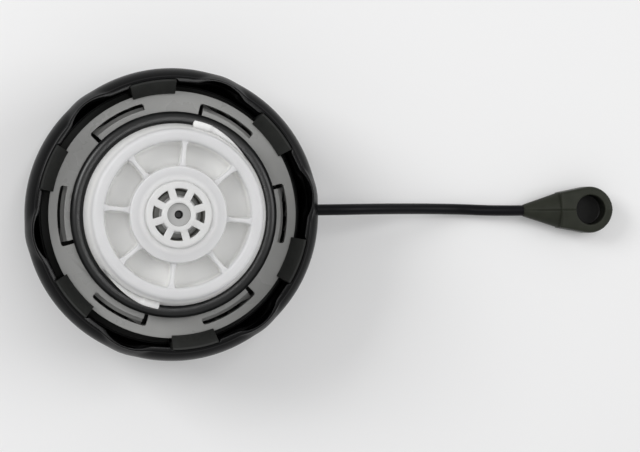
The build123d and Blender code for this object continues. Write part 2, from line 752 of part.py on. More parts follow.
def make_vacuum_spring():
    return coil_spring(vacuum_coil_radius, vacuum_wire, vacuum_turns,
                       push_nut_level + push_nut_thickness, plate_under)


def make_spring_seat():
    body = ring(housing_bore_radius - snug_gap, spring_seat_bore,
                spring_seat_level - spring_seat_thickness, spring_seat_level)
    body += ring(coil_guide_radius, spring_seat_bore,
                 spring_seat_level, spring_seat_level + coil_guide_height)
    for turn in around(spring_seat_slots):
        body -= turn * Pos(spring_seat_bore, 0, spring_seat_level) * Box(
            spring_seat_slot, spring_seat_slot, 4 * spring_seat_thickness)
    return body


def make_tether_ring():
    inner = groove_radius + tether_ring_play
    low = groove_low + tether_ring_side_play
    high = groove_high - tether_ring_side_play
    body = ring(inner + tether_ring_wall, inner, low, high)
    boss = Pos(tether_boss_face - tether_boss_depth / 2, 0, (low + high) / 2) * Box(
        tether_boss_depth, tether_boss_width, high - low)
    return body + (boss - ring(inner + edge_break, 0, low - overcut, high + overcut))


def strap_radii(points):
    """Each corner's radius: 0.45 of its shorter run over the tangent of half its turn."""
    radii = []
    for before, here, after in zip(points, points[1:], points[2:]):
        run_in = Vector(*here) - Vector(*before)
        run_out = Vector(*after) - Vector(*here)
        half_turn = radians(run_in.get_angle(run_out)) / 2
        radii.append(0.45 * min(run_in.length, run_out.length) / tan(half_turn))
    return radii


def make_tether_strap():
    points = [(tether_boss_face + along, side, height) for along, side, height in strap_route]
    radii = strap_radii(points)
    path = FilletPolyline(*points, radius=radii)
    tube = sweep(Plane(origin=path @ 0, z_dir=path % 0) * Circle(strap_diameter / 2), path=path)
    expected = pi * strap_diameter ** 2 / 4 * path.length
    print("strap radii", [round(r, 1) for r in radii], "length", round(path.length, 1),
          "volume", round(tube.volume, 1), "expected", round(expected, 1))
    return tube


def make_tether_fitting():
    """A cone from the strap to a step, then cheeks that run into a round head with a socket."""
    step = fitting_tip + fitting_step
    head_x = fitting_tip + fitting_head_distance
    cheek_side = fitting_head_radius * fitting_cheek_share
    tip_face = Plane(origin=(fitting_tip, 0, fitting_axis_height), x_dir=(0, 1, 0), z_dir=(1, 0, 0))
    step_face = Plane(origin=(step, 0, fitting_step_height / 2), x_dir=(0, 1, 0), z_dir=(1, 0, 0))
    neck = loft([tip_face * Circle(fitting_tip_radius),
                 step_face * Ellipse(fitting_step_width / 2, fitting_step_height / 2)])
    head = Cylinder(fitting_head_radius, fitting_head_height,
                    align=(Align.CENTER, Align.CENTER, Align.MIN))
    cheek = Polyline([
        (step, -fitting_step_width / 2), (head_x, -cheek_side), (head_x, cheek_side),
        (step, fitting_step_width / 2)], close=True)
    body = Pos(head_x, 0, 0) * head + extrude(make_face(cheek), fitting_head_height)
    levels = body.edges().group_by(Axis.Z)
    body = fillet(levels[0] + levels[-1], fitting_head_round)
    body += neck
    body -= Pos(head_x, 0, fitting_head_height) * Cylinder(socket_radius, 2 * socket_depth)
    return body


pieces = {
    "cover_shell": make_cover_shell,
    "hook_ring": make_hook_ring,
    "ratchet_plate": make_ratchet_plate,
    "plug_body": make_plug_body,
    "gasket": make_gasket,
    "valve_cage": make_valve_cage,
    "guide_bush": make_guide_bush,
    "valve_housing": make_valve_housing,
    "housing_o_ring": make_housing_o_ring,
    "housing_clip": make_housing_clip,
    "pressure_plate": make_pressure_plate,
    "pressure_seal": make_pressure_seal,
    "pressure_spring": make_pressure_spring,
    "spring_seat": make_spring_seat,
    "vacuum_valve": make_vacuum_valve,
    "vacuum_spring": make_vacuum_spring,
    "push_nut": make_push_nut,
    "tether_ring": make_tether_ring,
    "tether_strap": make_tether_strap,
    "tether_fitting": make_tether_fitting,
}

os.makedirs("parts", exist_ok=True)
for name, make in pieces.items():
    export_step(make(), f"parts/{name}.step")
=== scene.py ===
import json
import bmesh
import bpy
import numpy as np
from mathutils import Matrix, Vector


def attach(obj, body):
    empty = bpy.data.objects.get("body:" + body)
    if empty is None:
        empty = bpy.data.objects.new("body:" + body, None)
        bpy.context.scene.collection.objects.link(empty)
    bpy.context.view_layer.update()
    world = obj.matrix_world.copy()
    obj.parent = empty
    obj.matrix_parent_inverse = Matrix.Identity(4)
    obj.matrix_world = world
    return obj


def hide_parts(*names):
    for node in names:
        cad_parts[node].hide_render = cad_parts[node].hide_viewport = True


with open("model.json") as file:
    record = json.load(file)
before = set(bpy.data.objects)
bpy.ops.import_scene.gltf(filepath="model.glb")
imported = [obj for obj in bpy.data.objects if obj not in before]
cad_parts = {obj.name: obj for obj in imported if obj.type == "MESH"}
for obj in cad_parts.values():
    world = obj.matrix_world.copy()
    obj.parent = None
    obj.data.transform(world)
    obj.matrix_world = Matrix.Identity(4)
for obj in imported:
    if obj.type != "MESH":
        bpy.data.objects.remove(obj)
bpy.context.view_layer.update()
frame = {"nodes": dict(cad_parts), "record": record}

nodes = frame["nodes"]
MM = 0.001


# ---- the stand: a pale floor, three soft lamps and the camera above the cap ---------------------
# The cap lies on its grip, so the floor is at zero height. The key lamp hangs to the upper left.
floor_half = 1.5
floor_patch = 0.4
floor_shades = (0.86, 0.86, 0.86, 1), (0.84, 0.84, 0.845, 1)
lamps_aim = Vector((0, 0, 0.03))
key_place = Vector((-0.62, 0.36, 0.58))
key_size = (0.4, 0.4)
key_power = 3.5
fill_place = Vector((0.72, 0.12, 0.62))
fill_size = (0.5, 0.5)
fill_power = 2.1
strip_place = Vector((0.06, 0.1, 0.95))
strip_size = (0.08, 0.8)
strip_power = 1.5
sky_strength = 0.5
camera_place = Vector((-33.9, 0.24, 520.0)) * MM
camera_turn = (-0.0063, -0.1544, -0.0119)
camera_lens = 96.3

floor_mesh = bpy.data.meshes.new("floor")
floor_mesh.from_pydata([(-floor_half, -floor_half, 0), (floor_half, -floor_half, 0),
                        (floor_half, floor_half, 0), (-floor_half, floor_half, 0)], [], [(0, 1, 2, 3)])
floor = bpy.data.objects.new("floor", floor_mesh)
bpy.context.scene.collection.objects.link(floor)


def lamp(name, place, size, power):
    """An area lamp of a width and a length that points at the cap's middle."""
    data = bpy.data.lights.new(name, "AREA")
    data.shape = "RECTANGLE"
    data.size, data.size_y = size
    data.energy = power
    made = bpy.data.objects.new(name, data)
    made.location = place
    made.rotation_mode = "QUATERNION"
    made.rotation_quaternion = (lamps_aim - place).to_track_quat("-Z", "Y")
    bpy.context.scene.collection.objects.link(made)


lamp("key_lamp", key_place, key_size, key_power)
lamp("fill_lamp", fill_place, fill_size, fill_power)
lamp("strip_lamp", strip_place, strip_size, strip_power)

camera_data = bpy.data.cameras.new("camera")
camera_data.lens = camera_lens
camera = bpy.data.objects.new("camera", camera_data)
camera.location = camera_place
camera.rotation_euler = camera_turn
bpy.context.scene.collection.objects.link(camera)
bpy.context.scene.camera = camera
bpy.context.scene.view_settings.view_transform = "Standard"


class Link:
    """A socket inside a material, so that shader maths reads as an expression."""

    def __init__(self, paint, socket):
        self.paint = paint
        self.socket = socket

    def math(self, operation, *values):
        return self.paint.node("ShaderNodeMath", {"operation": operation}, dict(enumerate(values)))

    def __add__(self, other):
        return self.math("ADD", self, other)

    def __sub__(self, other):
        return self.math("SUBTRACT", self, other)

    def __rsub__(self, other):
        return self.math("SUBTRACT", other, self)

    def __mul__(self, other):
        return self.math("MULTIPLY", self, other)

    __radd__ = __add__
    __rmul__ = __mul__

    def between(self, low, high):
        """0 below low, 1 above high and a smooth ramp from one to the other."""
        return self.paint.node("ShaderNodeMapRange", {"interpolation_type": "SMOOTHSTEP"},
                               {"Value": self, "From Min": low, "From Max": high})


class Paint:
    """A material. Its nodes come from one method, and its plain numbers sit on the shader."""

    def __init__(self, name, **plain):
        self.material = bpy.data.materials.new(name)
        self.material.use_nodes = True
        self.tree = self.material.node_tree
        self.shader = self.tree.nodes["Principled BSDF"]
        for key, value in plain.items():
            self.shader.inputs[key.replace("_", " ")].default_value = value
        self.place = self.node("ShaderNodeTexCoord", output="Object")

    def node(self, kind, settings=None, values=None, output=0):
        made = self.tree.nodes.new(kind)
        for key, value in (settings or {}).items():
            setattr(made, key, value)
        for key, value in (values or {}).items():
            if isinstance(value, Link):
                self.tree.links.new(value.socket, made.inputs[key])
            else:
                made.inputs[key].default_value = value
        return Link(self, made.outputs[output])

    def noise(self, size, detail=2.0):
        """Cloudy noise from 0 to 1 whose patches are about size metres across."""
        return self.node("ShaderNodeTexNoise", {}, {
            "Vector": self.place, "Scale": 1 / size, "Detail": detail, "Roughness": 0.5})

    def mix(self, share, first, second):
        """A colour that goes from first to second as share goes from 0 to 1."""
        return self.node("ShaderNodeMix", {"data_type": "RGBA"}, {0: share, 6: first, 7: second}, 2)

    def height(self):
        """Each point's height over the floor."""
        return self.node("ShaderNodeSeparateXYZ", {}, {"Vector": self.place}, "Z")

    def from_axis(self, x=0.0):
        """Each point's distance from the upright axis that stands at x."""
        flat = self.node("ShaderNodeVectorMath", {"operation": "MULTIPLY"}, {
            0: self.place, 1: (1, 1, 0)})
        return self.node("ShaderNodeVectorMath", {"operation": "DISTANCE"}, {
            0: flat, 1: (x, 0, 0)}, "Value")

    def bump(self, height, depth):
        """Bumps of a depth in metres."""
        return self.node("ShaderNodeBump", {}, {"Height": height, "Strength": 1.0, "Distance": depth})

    def moulded(self, patch, roughness, grain, depth, patch_detail=3.0, grain_detail=2.0):
        """The finish of a moulding, in millimetres: clouds patch across, which are returned for the
        colour and along which the roughness goes from its first value to its second, under bumps
        whose grain is that fine and whose depth is that small."""
        cloud = self.noise(patch * MM, patch_detail)
        self.drive(Roughness=cloud * (roughness[1] - roughness[0]) + roughness[0],
                   Normal=self.bump(self.noise(grain * MM, grain_detail), depth * MM))
        return cloud

    def drive(self, **links):
        """Links values to the shader's sockets and returns the material."""
        for key, value in links.items():
            self.tree.links.new(value.socket, self.shader.inputs[key.replace("_", " ")])
        return self.material


def rgb(red, green, blue):
    """Screen values from 0 to 255 as a linear colour."""
    share = np.array([red, green, blue]) / 255
    linear = np.where(share <= 0.04045, share / 12.92, ((share + 0.055) / 1.055) ** 2.4)
    return (*linear.tolist(), 1.0)


floor_paint = Paint("floor", Roughness=0.9)
floor_mesh.materials.append(floor_paint.drive(
    Base_Color=floor_paint.mix(floor_paint.noise(floor_patch), *floor_shades)))

world = bpy.data.worlds.new("sky")
world.use_nodes = True
bpy.context.scene.world = world
sky = world.node_tree.nodes["Background"]
sky.inputs["Color"].default_value = (1, 1, 1, 1)
sky.inputs["Strength"].default_value = sky_strength


# ---- cover: one glossy black nylon moulding, the grip and the lobed skirt together --------------
# The skirt bulges to its widest round and draws in to a thin free edge with six arched lobes. A
# groove behind the face carries the tether ring. The grip is a waisted bar across the face. The
# floor inside is plain: the stakes and the grip's hollow are left out, as nothing of them shows.
cover_columns = 480
weld, sliver = 0.002, 0.001
skin_crease = np.radians(45)
round_share = 0.49
grip_half_length = 33.0
grip_half_width = 11.2
grip_half_waist = 7.5
grip_squareness = 5.0
grip_edge = 2.4
grip_foot = 1.2
grip_draft = np.radians(5)
face_level = 13.0
face_flat = 39.0
flange_radius, groove_radius, band_radius = 42.0, 40.2, 41.9
groove_low, groove_high = 16.0, 20.4
cavity_radius = 38.4
cavity_low, cavity_high = 15.4, 21.8
rim_level = 36.0
skirt_start, skirt_start_radius = 21.45, 41.95
widest_level = 27.0
outer_widest, outer_rim = 42.09, 38.9
inner_widest, inner_rim = 40.1, 37.4
outer_edge_round, inner_edge_round, edge_band = 0.5, 0.45, 0.5
lobe_count = 6
lobe_turn = np.radians(8.5)
lobe_half = np.radians(11)
lobe_rise = 0.25
outer_rise, inner_rise = 1.25, 2.2
lobe_softness = 0.12
no_lobe = -9.0
hook_turn = np.radians(38.5)
notch_half = np.radians(10.4)
notch_edge = np.radians(0.4)
notch_low = 32.6
notch_radius = 38.5


def around(columns):
    """Angles once round the axis, as one row."""
    return np.arange(columns) * (2 * np.pi / columns)


def rounded(corners, steps=7):
    """Softens the corners of a profile given as (radius, height, softening) rows: each corner
    becomes a parabola from softening before it to softening after it, or from nearly half way to
    its neighbours where they are close, with the corner as its control point."""
    corners = np.array(corners, float)
    points, soft = corners[:, :2], corners[:, 2:]
    back = np.roll(points, 1, 0) - points
    ahead = np.roll(points, -1, 0) - points
    back_length = np.linalg.norm(back, axis=1, keepdims=True)
    ahead_length = np.linalg.norm(ahead, axis=1, keepdims=True)
    start = points + back / back_length * np.minimum(soft, round_share * back_length)
    end = points + ahead / ahead_length * np.minimum(soft, round_share * ahead_length)
    share = np.linspace(0, 1, steps).reshape(1, -1, 1)
    curve = ((1 - share) ** 2 * start[:, None] + 2 * share * (1 - share) * points[:, None]
             + share ** 2 * end[:, None]).reshape(-1, 2)
    return curve[np.linalg.norm(curve - np.roll(curve, 1, 0), axis=1) > sliver]


def turned(profile, columns=256):
    """A surface of revolution: each (radius, height) row is carried once round the axis."""
    angle = around(columns)
    radius, height = profile[:, :1], profile[:, 1:]
    return np.stack(np.broadcast_arrays(
        radius * np.cos(angle), radius * np.sin(angle), height), axis=-1)


def closed(grid):
    """The grid with its first row repeated at its end, so that its profile closes."""
    return np.concatenate([grid, grid[:1]])


def skin(name, grids, paint, body, stands_for):
    """One mesh from closed grids of points in millimetres. Neighbours in a grid are joined by
    four-sided faces, and its columns close on themselves. A row that meets in a point is a pole."""
    faces, count = [], 0
    for grid in grids:
        rows, columns = grid.shape[:2]
        index = np.arange(rows * columns).reshape(rows, columns) + count
        ahead = np.roll(index, -1, axis=1)
        faces.append(np.stack([index[:-1], ahead[:-1], ahead[1:], index[1:]], -1).reshape(-1, 4))
        count += rows * columns
    mesh = bpy.data.meshes.new(name)
    places = np.concatenate([grid.reshape(-1, 3) for grid in grids]) * MM
    mesh.from_pydata(places.tolist(), [], np.concatenate(faces).tolist())
    work = bmesh.new()
    work.from_mesh(mesh)
    bmesh.ops.remove_doubles(work, verts=work.verts, dist=weld * MM)
    bmesh.ops.dissolve_degenerate(work, edges=work.edges, dist=sliver * MM)
    bmesh.ops.recalc_face_normals(work, faces=work.faces)
    work.to_mesh(mesh)
    work.free()
    mesh.shade_smooth()
    mesh.set_sharp_from_angle(angle=skin_crease)
    mesh.materials.append(paint)
    made = bpy.data.objects.new(name, mesh)
    bpy.context.scene.collection.objects.link(made)
    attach(made, body)
    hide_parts(stands_for)
    return made


def barrel(widest, rim, rows=14):
    """One side of the skirt as (radius, height, softening) rows: an arc that stands upright at the
    widest round and draws in to the free edge."""
    draw, rise = widest - rim, rim_level - widest_level
    bend = (rise ** 2 + draw ** 2) / (2 * draw)
    angle = np.linspace(0, np.arcsin(rise / bend), rows)
    return np.column_stack([widest - bend * (1 - np.cos(angle)),
                            widest_level + bend * np.sin(angle), np.zeros(rows)])


def lobed(radius, height, angle, widest, rim, rise):
    """The radius with six lobes. A lobe is a column of circles whose fronts follow a parabola from
    inside the skirt over its widest round to the free edge. It joins the skirt by a soft maximum:
    the larger of the two, plus a share that falls off with their difference."""
    spacing = 2 * np.pi / lobe_count
    away = (angle - lobe_turn + spacing / 2) % spacing - spacing / 2
    half, depth = rim * np.sin(lobe_half), rim + rise - rim * np.cos(lobe_half)
    column = (half ** 2 + depth ** 2) / (2 * depth)
    front = np.polyval(np.polyfit(
        [skirt_start, widest_level, rim_level],
        [widest - lobe_rise, widest + lobe_rise, rim + rise], 2), height)
    middle = front - column
    reach = middle * np.cos(away) + np.sqrt((column ** 2 - (middle * np.sin(away)) ** 2).clip(0))
    ahead = np.where(height < skirt_start, no_lobe, reach - radius)
    return radius + lobe_softness * np.logaddexp(0, ahead / lobe_softness)


def grip_outline(columns):
    """The bar's outline, evenly spaced: a squared-off ellipse whose width grows with the square of
    the distance from its middle. Returns the points and their outward directions."""
    turn = np.linspace(0, 2 * np.pi, 8001)
    power = 2 / grip_squareness
    y = grip_half_length * np.sign(np.sin(turn)) * np.abs(np.sin(turn)) ** power
    width = grip_half_waist + (grip_half_width - grip_half_waist) * (y / grip_half_length) ** 2
    x = width * np.sign(np.cos(turn)) * np.abs(np.cos(turn)) ** power
    length = np.concatenate([[0], np.cumsum(np.hypot(np.diff(x), np.diff(y)))])
    even = np.linspace(0, length[-1], columns, endpoint=False)
    points = np.stack([np.interp(even, length, x), np.interp(even, length, y)], -1)
    along = np.roll(points, -3, 0) - np.roll(points, 3, 0)
    out = np.stack([along[:, 1], -along[:, 0]], -1)
    return points, out / np.linalg.norm(out, axis=1, keepdims=True)


def cover_surface():
    """The grip's rows follow its outline, inset at the top edge and flared by the draft, and spread
    to circles on the face. From there each row is a circle that swells at the lobes."""
    angle = around(cover_columns)
    outline, outward = grip_outline(cover_columns)
    circle = np.stack([np.cos(angle), np.sin(angle)], -1)
    arc = np.linspace(0, np.pi / 2, 8)
    inset = np.concatenate([grip_edge * (1 - np.sin(arc)), [0], grip_foot * (np.cos(arc) - 1)])
    level = np.concatenate([grip_edge * (1 - np.cos(arc)), [face_level / 2],
                            face_level - grip_foot * (1 - np.sin(arc))])
    inset = inset - (level - grip_edge).clip(0) * np.tan(grip_draft)
    rows = [np.column_stack([(outline - outward * grip_edge) * share, np.zeros(cover_columns)])
            for share in (0, 0.4, 0.8)]
    rows += [np.column_stack([outline - outward * step, np.full(cover_columns, height)])
             for step, height in zip(inset, level)]
    foot = rows[-1][:, :2]
    rows += [np.column_stack([foot * (1 - share) + circle * face_flat * share,
                              np.full(cover_columns, face_level)]) for share in (0.2, 0.5, 0.8)]
    outer, inner = barrel(outer_widest, outer_rim), barrel(inner_widest, inner_rim)
    outer[-1, 2], inner[-1, 2] = outer_edge_round, inner_edge_round
    profile = rounded(np.vstack([
        (face_flat, face_level, 0), (flange_radius, face_level, 2.8),
        (flange_radius, groove_low, 0.25), (groove_radius, groove_low, 0.2),
        (groove_radius, groove_high, 0.2), (band_radius, groove_high, 0.25),
        (skirt_start_radius, skirt_start, 0.3), outer, inner[::-1],
        (inner_widest, cavity_high, 0.3), (cavity_radius, cavity_high, 0.3),
        (cavity_radius, cavity_low, 0.3), (0, cavity_low, 0)]))
    radius, height = profile[:, :1], profile[:, 1:]
    row = np.arange(len(radius))[:, None]
    across = ((outer_rim - radius) / (outer_rim - inner_rim)).clip(0, 1)
    share = np.where(height > rim_level - edge_band, across, row > np.argmax(height))
    reach = ((1 - share) * lobed(radius, height, angle, outer_widest, outer_rim, outer_rise)
             + share * lobed(radius, height, angle, inner_widest, inner_rim, inner_rise))
    away = (angle - hook_turn + np.pi / lobe_count) % (2 * np.pi / lobe_count) - np.pi / lobe_count
    notch = (np.tanh((away + notch_half) / notch_edge) - np.tanh((away - notch_half) / notch_edge)) / 2
    reach = reach + (height > notch_low) * notch * (notch_radius - reach).clip(0)
    skirt = np.stack(np.broadcast_arrays(reach * np.cos(angle), reach * np.sin(angle), height), -1)
    return np.concatenate([np.array(rows), skirt])


# The skirt's free edge shines a little more than the rest, from the first height to the second.
# The gloss is kept far down all over, so that the pale floor doesn't light the skirt's flank.
shine = 35.2 * MM, 35.8 * MM
shine_weight = 0.28
gloss = Paint("gloss_black_nylon", IOR=1.45, Specular_IOR_Level=0.03, Coat_Roughness=0.16)
gloss_flow = gloss.moulded(9, (0.2, 0.3), 0.5, 0.012, patch_detail=2)
gloss_paint = gloss.drive(
    Base_Color=gloss.mix(gloss_flow, rgb(7, 7, 8), rgb(12, 12, 13)),
    Coat_Weight=gloss.height().between(*shine) * shine_weight)
skin("cover_moulding", [cover_surface()], gloss_paint, "cover", "cover_shell")


# ---- snap-hook ring: matt nylon, seated on the cover's floor, where six stakes would hold it ----
# Its six hooks hold the ratchet plate. Moulded pieces with fine edges are softened copies.
coplanar = np.radians(0.5)
corner_angle = np.radians(38)
flat_side = np.radians(20)


def softened(node, edge, paint):
    """A copy of a moulded piece with its corners broken by a small round of edge millimetres."""
    mesh = nodes[node].data.copy()
    work = bmesh.new()
    work.from_mesh(mesh)
    bmesh.ops.remove_doubles(work, verts=work.verts, dist=weld * MM)
    bmesh.ops.dissolve_limit(work, angle_limit=coplanar, verts=work.verts, edges=work.edges)
    work.to_mesh(mesh)
    work.free()
    mesh.materials.clear()
    mesh.materials.append(paint)
    made = bpy.data.objects.new(node + "_moulding", mesh)
    bpy.context.scene.collection.objects.link(made)
    bevel = made.modifiers.new("edges", "BEVEL")
    bevel.width = edge * MM
    bevel.segments = 2
    bevel.limit_method = "ANGLE"
    bevel.angle_limit = corner_angle
    bevel.use_clamp_overlap = True
    made.data = bpy.data.meshes.new_from_object(
        made.evaluated_get(bpy.context.evaluated_depsgraph_get()))
    made.modifiers.clear()
    made.data.shade_smooth()
    made.data.set_sharp_from_angle(angle=flat_side)
    body = next(name for name, members in frame["record"]["behaviour"]["bodies"].items()
                if node in members)
    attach(made, body)
    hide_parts(node)


matt = Paint("matt_dark_nylon", Specular_IOR_Level=0.4)
matt_cloud = matt.moulded(4, (0.55, 0.65), 0.25, 0.02)
matt_paint = matt.drive(Base_Color=matt.mix(matt_cloud, rgb(30, 31, 30), rgb(41, 42, 40)))
softened("hook_ring", 0.22, matt_paint)


# ---- ratchet plate: natural acetal, moulded, with six pawl fingers below its slots --------------
# The hooks hold it down on the toothed wall. It turns with the plug and clicks over the teeth.
natural = Paint("natural_acetal", Specular_IOR_Level=0.45, Subsurface_Weight=0.1,
                Subsurface_Radius=(0.003, 0.003, 0.0028), Subsurface_Scale=1.0)
natural_cloud = natural.moulded(8, (0.24, 0.32), 0.3, 0.015)
natural_paint = natural.drive(
    Base_Color=natural.mix(natural_cloud, rgb(134, 134, 132), rgb(148, 148, 146)))
softened("ratchet_plate", 0.2, natural_paint)


# ---- gasket: one black nitrile rubber ring, moulded, with a groove round its outside ------------
# It sits round the plug's stem, on the shoulder.
# (radius, height, softening) round its section
gasket_profile = np.array([
    (25.05, 30.02, 0.3), (28.75, 30.02, 0.7), (29.35, 30.9, 0.5), (28.35, 31.9, 0.6),
    (29.35, 32.6, 0.5), (29.35, 33.1, 0.6), (28.2, 34.2, 1.0), (26.2, 34.2, 0.8), (25.05, 33.1, 0.5)])
rubber = Paint("nitrile_rubber", Specular_IOR_Level=0.5)
rubber_cloud = rubber.moulded(5, (0.24, 0.36), 0.35, 0.025, grain_detail=3)
rubber_paint = rubber.drive(Base_Color=rubber.mix(rubber_cloud, rgb(12, 12, 13), rgb(24, 25, 25)))
skin("gasket_ring", [closed(turned(rounded(gasket_profile)))], rubber_paint, "plug", "gasket")


# ---- plug: white acetal closure, moulded, with eight ribs, a hub and two bayonet cams -----------
# Its spigot sits in the bore of the ratchet plate. The spigot's keys are hidden there and left out.
# (radius, height, softening) round the closure's wall, as one closed profile
plug_profile = np.array([
    (24.25, 17.6, 0.3), (26.65, 17.6, 0.2), (27.05, 18.1, 0.2), (27.05, 18.9, 0.2),
    (26.45, 18.9, 0.2), (26.45, 29.0, 0.2), (28.6, 29.0, 0.2), (28.6, 30.0, 0.2),
    (25.0, 30.0, 0.3), (25.0, 36.5, 0.2), (25.8, 36.5, 0.4), (23.5, 49.2, 1.0),
    (22.9, 50.0, 0.6), (20.25, 50.0, 0.9), (20.0, 43.5, 1.0), (17.9, 43.5, 0),
    (15.6, 43.5, 0), (13.5, 43.5, 1.0), (13.3, 50.9, 0.45), (10.4, 50.9, 0.6),
    (9.31, 51.2, 0.03), (9.31, 47.5, 0.1), (11.1, 47.5, 0.1), (11.1, 22.4, 0.2),
    (13.3, 22.4, 0.2), (13.3, 41.3, 0.5), (22.4, 41.3, 0.8), (22.8, 28.5, 1.0),
    (24.25, 26.0, 1.0)])
rib_count = 8
rib_turn = np.radians(-6)
rib_half = 0.66
rib_edge = 0.05
rib_blend = 0.12
rib_flare = 0.5
rib_flare_reach = 0.9
rib_top = 49.6
rib_floor = 43.2
rib_offsets = (0, 0.35, 0.5, 0.6, 0.66, 0.72, 0.82, 0.95, 1.1, 1.3, 1.6, 2.2)
rib_far_angles = (11, 14, 17, 20)
rib_fade, rib_fade_width = np.radians(11), np.radians(1)
pocket_middle = 16.75
hub_radius, pocket_radius = 13.3, 20.2
cam_root = 23.9
cam_radius, cam_end_radius = 26.85, 25.25
cam_turn = np.radians(78.5)
cam_angle = np.radians(42)
cam_block_angle = np.radians(11)
cam_thickness = 3.2
cam_top = 41.4
cam_fall = 1.2
cam_block_rise = 0.9
cam_block_edge = np.radians(0.35)
cam_end_share, cam_end_fill = 0.012, 0.8


def spun(grid, turn):
    """The grid turned about the cap's axis."""
    x, y, z = grid[..., 0], grid[..., 1], grid[..., 2]
    return np.stack([x * np.cos(turn) - y * np.sin(turn), x * np.sin(turn) + y * np.cos(turn), z], -1)


def capped(grid):
    """The grid with a pole at the middle of its first row and of its last row."""
    first = np.broadcast_to(grid[:1].mean(1, keepdims=True), grid[:1].shape)
    last = np.broadcast_to(grid[-1:].mean(1, keepdims=True), grid[-1:].shape)
    return np.concatenate([first, grid, last])


def ribbed_closure():
    """The closure's profile, carried round the axis, with ribs raised in the pockets. Columns near
    a rib keep their distance from its middle at every radius, which fades out between the ribs. A
    rib's height falls from its top to the floor by a logistic step at its half thickness, which
    grows towards both walls, and it joins the profile by a soft maximum."""
    near = np.arcsin(np.array(rib_offsets) / pocket_middle)
    side = np.concatenate([near, np.radians(rib_far_angles)])
    column = np.concatenate([-side[:0:-1], side, [np.pi / rib_count]])
    profile = rounded(plug_profile)
    radius, height = profile[:, :1], profile[:, 1:]
    kept = np.arcsin(pocket_middle * np.sin(column) / radius.clip(hub_radius, pocket_radius))
    share = 1 / (1 + np.exp((np.abs(column) - rib_fade) / rib_fade_width))
    angle = column + share * (kept - column)
    away = np.abs(radius * np.sin(angle))
    wall = np.minimum(radius - hub_radius, pocket_radius - radius).clip(0)
    half = rib_half + rib_flare * np.exp(-(wall / rib_flare_reach) ** 2)
    rise = rib_floor + (rib_top - rib_floor) / (1 + np.exp((away - half) / rib_edge))
    inside = (height > rib_floor) & (radius > hub_radius - 0.1) & (radius < pocket_radius + 1)
    lifted = height + inside * rib_blend * np.logaddexp(0, (rise - height) / rib_blend)
    turn = np.concatenate([angle + 2 * np.pi * i / rib_count for i in range(rib_count)], 1) + rib_turn
    level = np.tile(lifted, rib_count)
    return np.stack(np.broadcast_arrays(radius * np.cos(turn), radius * np.sin(turn), level), -1)


def cam():
    """A bayonet cam: a soft-edged section, carried backwards round the stem. It is a level block at
    the leading end, then a rail that falls towards the gasket and tapers back into the stem. Both
    ends are rounded off by a quarter circle."""
    section = rounded([(0, 0, 0.1), (1, 0, 0.12), (1, 1, 0.22), (0, 1, 0.1)], 6)
    share = np.concatenate([np.linspace(0, 0.02, 6), np.linspace(0.03, 0.98, 60),
                            np.linspace(0.985, 1, 6)])
    past = ((share * cam_angle - cam_block_angle) / (cam_angle - cam_block_angle)).clip(0)
    block = 1 / (1 + np.exp((share * cam_angle - cam_block_angle) / cam_block_edge))
    ends = np.sqrt((1 - (1 - np.minimum(share, 1 - share) / cam_end_share).clip(0) ** 2).clip(0.05))
    fill = (cam_end_fill + (1 - cam_end_fill) * ends)[:, None]
    top = cam_top - cam_fall * past + cam_block_rise * block
    bottom = cam_top - cam_fall * past - cam_thickness
    front = cam_radius + (cam_end_radius - cam_radius) * past
    reach = cam_root + (front - cam_root)[:, None] * fill * section[:, 0]
    height = bottom[:, None] + (top - bottom)[:, None] * section[:, 1]
    angle = -share[:, None] * cam_angle
    return capped(np.stack([reach * np.cos(angle), reach * np.sin(angle), height], -1))


# The base colour is lighter in the pockets than on the tops, between two heights, and light again
# round the hub's mouth, between two radii. This makes up for the shade that falls there.
pocket_depths = 44 * MM, 49.4 * MM
hub_mouth = 9.5 * MM, 11.4 * MM
milky = {"Specular_IOR_Level": 0.35, "Subsurface_Weight": 0.8,
         "Subsurface_Radius": (0.006, 0.006, 0.006), "Subsurface_Scale": 1.0}
white = Paint("white_acetal", **milky)
white_cloud = white.moulded(10, (0.36, 0.44), 0.3, 0.012)
white_pockets = white.mix(white_cloud, rgb(240, 240, 238), rgb(245, 245, 243))
white_tops = white.mix(white_cloud, rgb(199, 199, 200), rgb(207, 207, 208))
white_face = white.mix(white.from_axis().between(*hub_mouth), rgb(242, 242, 242), white_tops)
white_paint = white.drive(Base_Color=white.mix(
    white.height().between(*pocket_depths), white_pockets, white_face))
skin("plug_moulding",
     [closed(ribbed_closure())] + [spun(cam(), cam_turn + turn) for turn in around(2)],
     white_paint, "plug", "plug_body")


# ---- vent valve cage: white acetal, moulded, with eight ports round a raised guide boss ---------
# It is pressed into the mouth of the plug's hub and closes the valve in. Its side has a lighter
# base colour than its top, between two heights, which makes up for the shade round it.
cage_rim = 51.2 * MM, 51.9 * MM
cage = Paint("cage_acetal", **milky)
cage_cloud = cage.moulded(4, (0.34, 0.42), 0.3, 0.012)
cage_top = cage.mix(cage_cloud, rgb(217, 217, 216), rgb(225, 225, 224))
cage_paint = cage.drive(Base_Color=cage.mix(
    cage.height().between(*cage_rim), rgb(246, 246, 245), cage_top))
softened("valve_cage", 0.18, cage_paint)


# ---- guide bush: grey acetal, moulded, pressed into the cage's boss -----------------------------
# It guides the vacuum valve's pilot.
bush = Paint("grey_acetal", Specular_IOR_Level=0.45)
bush_cloud = bush.moulded(2, (0.38, 0.48), 0.2, 0.012)
bush_paint = bush.drive(Base_Color=bush.mix(bush_cloud, rgb(156, 156, 155), rgb(168, 168, 167)))
softened("guide_bush", 0.12, bush_paint)


